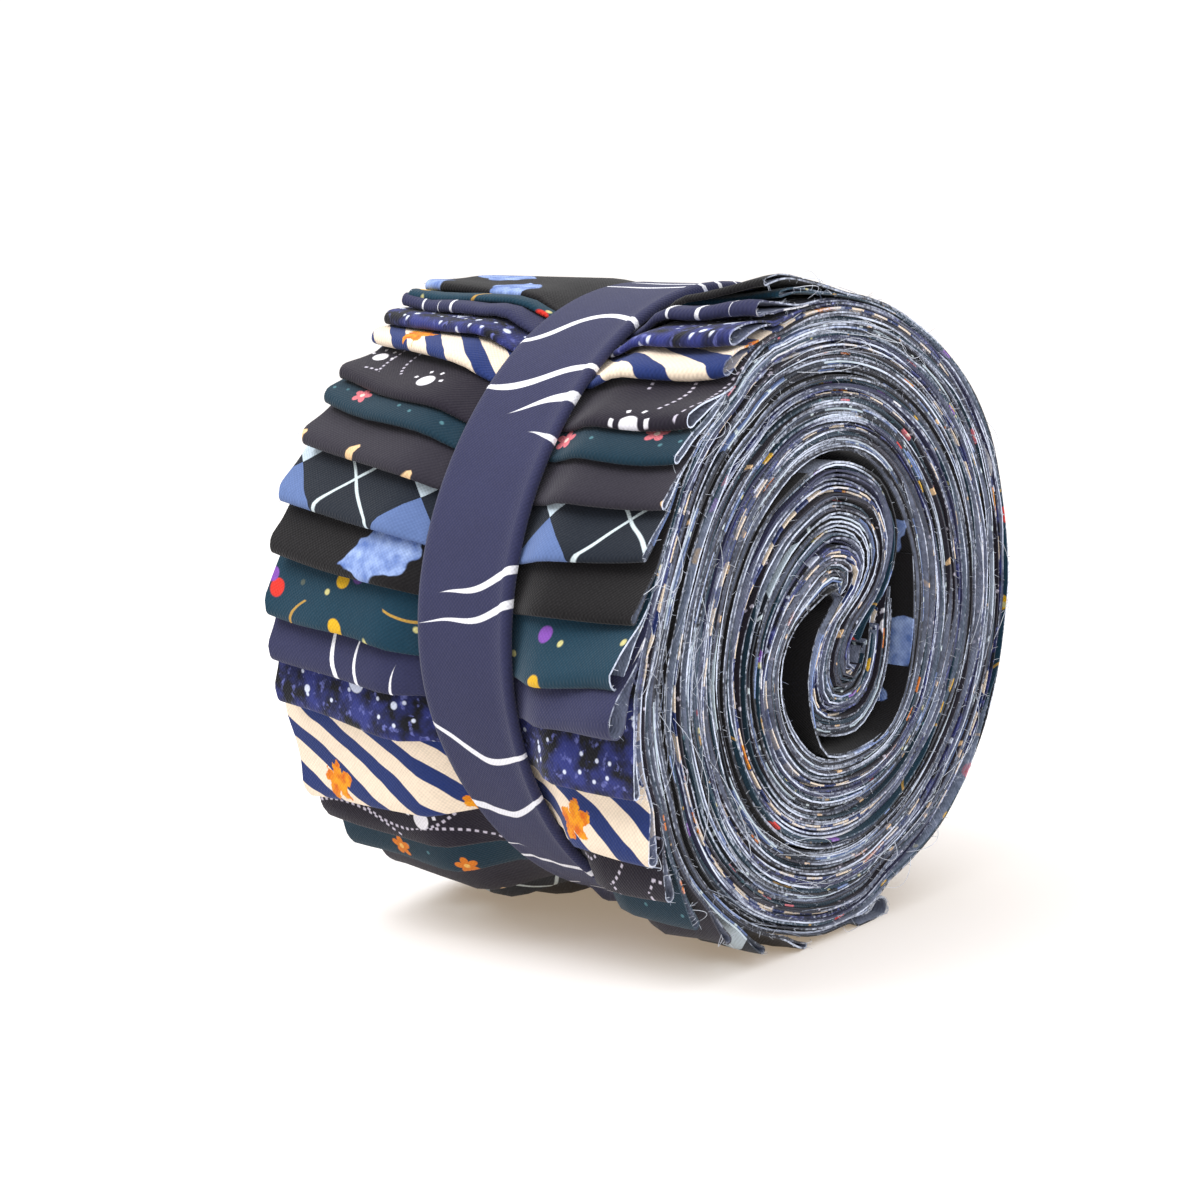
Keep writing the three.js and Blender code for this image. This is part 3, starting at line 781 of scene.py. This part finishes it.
def sharpen_borders(mesh, rows, cols):
    """Keeps the shading of a sheet's two sides apart from that of its cut edges."""
    n = rows * cols
    ends = np.zeros(len(mesh.edges) * 2, int)
    mesh.edges.foreach_get("vertices", ends)
    ends = ends.reshape(-1, 2)
    place = ends % n
    column, row = place % cols, place // cols
    border = ((column == 0) | (column == cols - 1)).all(1) & (column[:, 0] == column[:, 1])
    border |= ((row == 0) | (row == rows - 1)).all(1) & (row[:, 0] == row[:, 1])
    same_side = (ends < n).sum(1) != 1
    mesh.attributes.new("sharp_edge", "BOOLEAN", "EDGE").data.foreach_set("value", border & same_side)


def cloth_mesh(name, grid, along, across, thick):
    """A sheet of cloth of real thickness from its middle surface, printed on the outside of its fold."""
    rows, cols = grid.shape[:2]
    normal = np.cross(np.gradient(grid, axis=0), np.gradient(grid, axis=1))
    normal /= np.maximum(np.linalg.norm(normal, axis=-1, keepdims=True), 1e-9)
    half = thick[..., None] / 2
    points = np.concatenate([(grid - normal * half).reshape(-1, 3), (grid + normal * half).reshape(-1, 3)])
    points[:, 2] = np.maximum(points[:, 2], 0)
    printed, wrong, cut = sheet_faces(rows, cols)
    faces = np.vstack([printed, wrong, cut])
    mesh = bpy.data.meshes.new(name)
    mesh.vertices.add(len(points))
    mesh.vertices.foreach_set("co", (points * MM).ravel())
    mesh.loops.add(faces.size)
    mesh.loops.foreach_set("vertex_index", faces.ravel())
    mesh.polygons.add(len(faces))
    mesh.polygons.foreach_set("loop_start", np.arange(0, faces.size, 4))
    mesh.polygons.foreach_set("loop_total", np.full(len(faces), 4))
    mesh.update(calc_edges=True)
    mesh.validate()
    mesh.polygons.foreach_set("use_smooth", np.ones(len(faces), bool))
    cloth = np.zeros((rows * cols, 3))
    cloth[:, 0] = np.broadcast_to(np.reshape(along, (rows, -1)), (rows, cols)).ravel()
    cloth[:, 1] = np.broadcast_to(across, (rows, cols)).ravel()
    both_sides = np.tile(cloth, (2, 1)).ravel()
    mesh.attributes.new("cloth", "FLOAT_VECTOR", "POINT").data.foreach_set("vector", both_sides)
    side = np.repeat([1.0, 0.0], rows * cols)
    mesh.attributes.new("printed", "FLOAT", "POINT").data.foreach_set("value", side)
    is_cut = np.zeros(len(faces))
    is_cut[len(printed) + len(wrong):] = 1
    mesh.attributes.new("cut", "FLOAT", "FACE").data.foreach_set("value", is_cut)
    sharpen_borders(mesh, rows, cols)
    piece = bpy.data.objects.new(name, mesh)
    bpy.context.collection.objects.link(piece)
    return piece


strip_pieces, strip_grids = [], []
for number in range(STRIPS):
    grid, along, thick = strip_grid(number)
    print_name, (print_along, print_across) = FOLDS[number][6:]
    piece = cloth_mesh(f"strip_{number + 1:02d}", grid, along + print_along, ACROSS + print_across, thick)
    strip_grids.append(grid)
    strip_length = (along[-1] - along[0]) * MM
    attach(piece, "root")
    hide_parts("wound_strips")
    piece.data.materials.append(prints[print_name])
    rests_on = ["wound_strips"] if number == STRIPS - 1 else [f"strip_{number + 2:02d}"]
    strip_pieces.append((piece, strip_length, rests_on))
last_fold = int(np.argmin(np.abs(along)))

# The loose threads
# Threads that have worked loose from the cut edges: short fuzz that stands off every edge, longer threads
# that still lie along it, and a few round the innermost strip's open fold. Each is a hair of bare cotton.
FUZZ, LONG_THREADS, LOOP_THREADS = 5200, 170, 16
THREAD_SIDES = 3
FINE_THREAD, LONG_THREAD = 0.04, 0.055
FREE_END = 0.6
NEAR_EDGE_SHARE = 0.75


def tube(path, thickness):
    """Rings of points round a thread, thinner towards its free end."""
    forward = np.gradient(path, axis=0)
    forward /= np.linalg.norm(forward, axis=1, keepdims=True) + 1e-9
    side = np.cross(forward, [0.3, 0.5, 0.81])
    side /= np.linalg.norm(side, axis=1, keepdims=True) + 1e-9
    up = np.cross(forward, side)
    turns = 2 * math.pi * np.arange(THREAD_SIDES) / THREAD_SIDES
    size = (thickness * np.linspace(1, FREE_END, len(path)))[:, None, None]
    rings = np.cos(turns)[None, :, None] * side[:, None] + np.sin(turns)[None, :, None] * up[:, None]
    return (path[:, None] + rings * size).reshape(-1, 3)


def thread_path(pick, grid, long):
    """The course of one loose thread from a place on a cut edge of a strip."""
    edge = -1 if pick.random() < NEAR_EDGE_SHARE else 0
    outward = 1 if edge == -1 else -1
    clear_of_hook = int(0.22 * len(grid))
    first, last = (clear_of_hook, len(grid) - clear_of_hook) if long else (4, len(grid) - 14)
    row = int(pick.integers(first, last))
    start = grid[row, edge]
    if long:
        ahead = grid[min(row + int(pick.integers(2, 8)), len(grid) - 1), edge]
        sway = pick.normal(0, 0.9, 3) + [outward * pick.uniform(0.4, 1.6), 0, 0]
        share = np.linspace(0, 1, 9)[:, None]
        loose = pick.normal(0, 0.8, 3) * [0.2, 1, 1]
        return start * (1 - share) + ahead * share + 4 * share * (1 - share) * sway + share ** 2 * loose
    reach = pick.normal(0, 0.32, 3) + [outward * pick.uniform(0.15, 0.55), 0, 0]
    share = np.linspace(0, 1, 3)[:, None]
    return start + share * reach + share ** 2 * pick.normal(0, 0.15, 3)


def loop_thread(pick, grid, fold_row):
    """A thread that runs round the open fold of the last strip."""
    first = fold_row + int(pick.integers(-9, 4))
    path = grid[first:first + int(pick.integers(5, 10)), -1]
    return path + [pick.uniform(0.05, 0.4), 0, 0] + pick.normal(0, 0.12, path.shape)


pick = np.random.default_rng(31)
thread_points, thread_faces, thread_tints = [], [], []
point_count = 0
for i in range(FUZZ + LONG_THREADS + LOOP_THREADS):
    if i < FUZZ + LONG_THREADS:
        number = int(pick.integers(STRIPS))
        path = thread_path(pick, strip_grids[number], i < LONG_THREADS)
    else:
        path = loop_thread(pick, strip_grids[-1], last_fold)
    path[:, 2] = np.maximum(path[:, 2], 0.1)
    rings = tube(path, LONG_THREAD if i < LONG_THREADS else FINE_THREAD)
    ring = np.arange(len(path) - 1)[:, None] * THREAD_SIDES
    j = np.arange(THREAD_SIDES)[None, :]
    after = (j + 1) % THREAD_SIDES
    faces = np.stack([ring + j, ring + after, ring + THREAD_SIDES + after, ring + THREAD_SIDES + j], -1)
    thread_points.append(rings)
    thread_faces.append(faces.reshape(-1, 4) + point_count)
    thread_tints.append(np.full(len(rings), pick.random()))
    point_count += len(rings)
thread_mesh = bpy.data.meshes.new("loose_threads")
thread_mesh.from_pydata((np.vstack(thread_points) * MM).tolist(), [], np.vstack(thread_faces).tolist())
tint = thread_mesh.attributes.new("tint", "FLOAT", "POINT")
tint.data.foreach_set("value", np.concatenate(thread_tints))
loose_threads = bpy.data.objects.new("loose_threads", thread_mesh)
bpy.context.collection.objects.link(loose_threads)
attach(loose_threads, "root")
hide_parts("wound_strips")

thread_look = bpy.data.materials.new("bare_thread")
thread_look.use_nodes = True
tree = thread_look.node_tree
own_tint = put(tree, "Attribute", attribute_name="tint", out="Fac")
dyed = blend(tree, below(tree, own_tint, 0.35, 0.05), ink(206, 212, 224), ink(92, 108, 140))
place = put(tree, "TexCoord", out="Object")
worn = noise(tree, place, 900.0, 2.0)
shader = tree.nodes["Principled BSDF"]
shader.inputs["Roughness"].default_value = 0.9
shader.inputs["Specular IOR Level"].default_value = 0.2
tree.links.new(blend(tree, both(tree, worn, worn), dyed, ink(236, 238, 242)), shader.inputs["Base Color"])
thread_mesh.materials.append(thread_look)

# The tie band
# A strip of the same cotton with its raw edges turned under, drawn tight round the middle of the roll. It
# pinches the folded ends below it and gathers under the roll, where one of its ends laps over the other.
BAND_CLEARANCE = 0.6
BAND_DEPTH, BAND_CLOTH = 1.25, 0.3
BAND_PRINT_RADIUS = 48
# Its flat length in metres, a rounded figure that is about 3 % more than its course as built
BAND_STEP = 2
BAND_FROM, BAND_TO = UNDER_ANGLE - 372, UNDER_ANGLE + 8
LAP_FROM, LAP_TO = 356, 364
band_angles = np.arange(BAND_FROM, BAND_TO, BAND_STEP)
lapped = smooth(LAP_FROM, LAP_TO, band_angles - BAND_FROM)
band_middle, band_half = band_place(band_angles)
# Across the folded band, from one hidden raw edge round both turned edges to the other: across, up
BAND_FOLD = np.array([
    [0.1, 0.1], [0.45, 0.05], [0.8, 0.0], [0.95, 0.08], [1.01, 0.4], [0.99, 0.85], [0.93, 1.08], [0.86, 1.02],
    [0.78, 0.8], [0.6, 0.76], [0.35, 0.76], [0.1, 0.77], [-0.15, 0.77], [-0.4, 0.77], [-0.65, 0.77],
    [-0.82, 0.78], [-0.92, 0.8], [-0.985, 0.6], [-1, 0.25], [-0.95, 0.03], [-0.8, 0.0], [-0.45, 0.03],
    [0.0, 0.08],
])
band_grid = np.empty((len(band_angles), len(BAND_FOLD), 3))
lap_rise = 1.5 * BAND_DEPTH * lapped
inside = rim_radius(band_angles) - groove_depth(band_angles) + BAND_CLEARANCE + lap_rise
slack = 1 - band_half * 2 / BAND_WIDTH
for column, (side, up) in enumerate(BAND_FOLD):
    sway = 0.16 * np.sin(np.radians(band_angles * 7 + 40 * side)) * max(up - 0.2, 0)
    gather = slack * np.sin(side * 14 + np.radians(band_angles * 2)) * 0.8 * max(up - 0.3, 0)
    reach = inside + up * BAND_DEPTH + sway + gather
    band_grid[:, column, 0] = band_middle + side * band_half
    band_grid[:, column, 1:] = core + around(band_angles) * reach[:, None]
band_grid[..., 2] = np.maximum(band_grid[..., 2], CLOTH / 2)
band_along = np.radians(band_angles) * BAND_PRINT_RADIUS
fold_steps = np.linalg.norm(np.diff(BAND_FOLD * [BAND_WIDTH / 2, BAND_DEPTH], axis=0), axis=1)
band_across = np.concatenate([[0], np.cumsum(fold_steps)])
band_threads = np.broadcast_to(band_across, band_grid.shape[:2])
band_thick = np.full(band_grid.shape[:2], BAND_CLOTH)
band = cloth_mesh("tie_band_cloth", band_grid, band_threads, band_along[:, None], band_thick)
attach(band, "root")
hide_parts("tie_band")
band.data.materials.append(prints["white_line"])

# The table and the light
# The roll stands on a plain white sheet of paper, wide and lit evenly enough to merge with the white room
# behind, in soft studio light that is a little stronger from the upper left. The paper also has a painted
# warm glow of its own, which lightens and warms the shadow under and beside the roll.
FLOOR = 12.0
CEILING_LIGHT, WALL_LIGHT, SEEN_WALL = 1.5, 0.4, 1.1
ROLL_MIDDLE = Vector((0, 0, 0.047))
floor_mesh = bpy.data.meshes.new("floor")
corners = [(-FLOOR, -FLOOR, 0), (FLOOR, -FLOOR, 0), (FLOOR, FLOOR, 0), (-FLOOR, FLOOR, 0)]
floor_mesh.from_pydata(corners, [], [(0, 1, 2, 3)])
floor = bpy.data.objects.new("floor", floor_mesh)
bpy.context.collection.objects.link(floor)
paper = bpy.data.materials.new("white_paper_painted_glow")
paper.use_nodes = True
paper_shader = paper.node_tree.nodes["Principled BSDF"]
# The paper's bluish base and warm emission below make a painted glow: light of its own, from no lamp, that
# lightens and warms the shadow round the roll while the brightly lit paper stays white.
paper_shader.inputs["Base Color"].default_value = (0.72, 0.735, 0.765, 1)
paper_shader.inputs["Roughness"].default_value = 0.9
paper_shader.inputs["Specular IOR Level"].default_value = 0.1
paper_shader.inputs["Emission Color"].default_value = (1.0, 0.78, 0.55, 1)
paper_shader.inputs["Emission Strength"].default_value = 0.3
floor_mesh.materials.append(paper)

world = bpy.data.worlds.new("studio")
bpy.context.scene.world = world
world.use_nodes = True
room = world.node_tree
height = room.nodes.new("ShaderNodeSeparateXYZ")
room.links.new(put(room, "TexCoord", out="Generated"), height.inputs[0])
above = calc(room, "MAXIMUM", height.outputs[2], 0.0)
glow = calc(room, "MULTIPLY_ADD", both(room, above, above), CEILING_LIGHT, WALL_LIGHT)
seen = put(room, "LightPath", out="Is Camera Ray")
strength = calc(room, "MAXIMUM", glow, calc(room, "MULTIPLY", seen, SEEN_WALL))
room.links.new(strength, room.nodes["Background"].inputs["Strength"])
room.nodes["Background"].inputs["Color"].default_value = (1.0, 1.0, 1.0, 1)


def softbox(name, place, size, power):
    light = bpy.data.lights.new(name, "AREA")
    light.size = size
    light.energy = power
    lamp = bpy.data.objects.new(name, light)
    lamp.location = place
    lamp.rotation_euler = (ROLL_MIDDLE - Vector(place)).to_track_quat("-Z", "Y").to_euler()
    bpy.context.collection.objects.link(lamp)


softbox("window", place=(-0.4, -0.46, 0.78), size=0.55, power=7.2)
softbox("fill", place=(0.8, -0.2, 0.5), size=0.6, power=2.5)

# The photograph's view
VIEW_FROM = Vector((217.92, -286.8, 104.76)) * MM
VIEW_TO = Vector((0, -14.04, 48.22)) * MM
LENS, SENSOR = 73.23, 36
camera_data = bpy.data.cameras.new("photo_view")
camera_data.lens = LENS
camera_data.sensor_width = SENSOR
camera_data.clip_start = 0.01
camera = bpy.data.objects.new("photo_view", camera_data)
camera.location = VIEW_FROM
camera.rotation_euler = (VIEW_TO - VIEW_FROM).to_track_quat("-Z", "Y").to_euler()
bpy.context.collection.objects.link(camera)
bpy.context.scene.camera = camera
bpy.context.scene.view_settings.view_transform = "Standard"
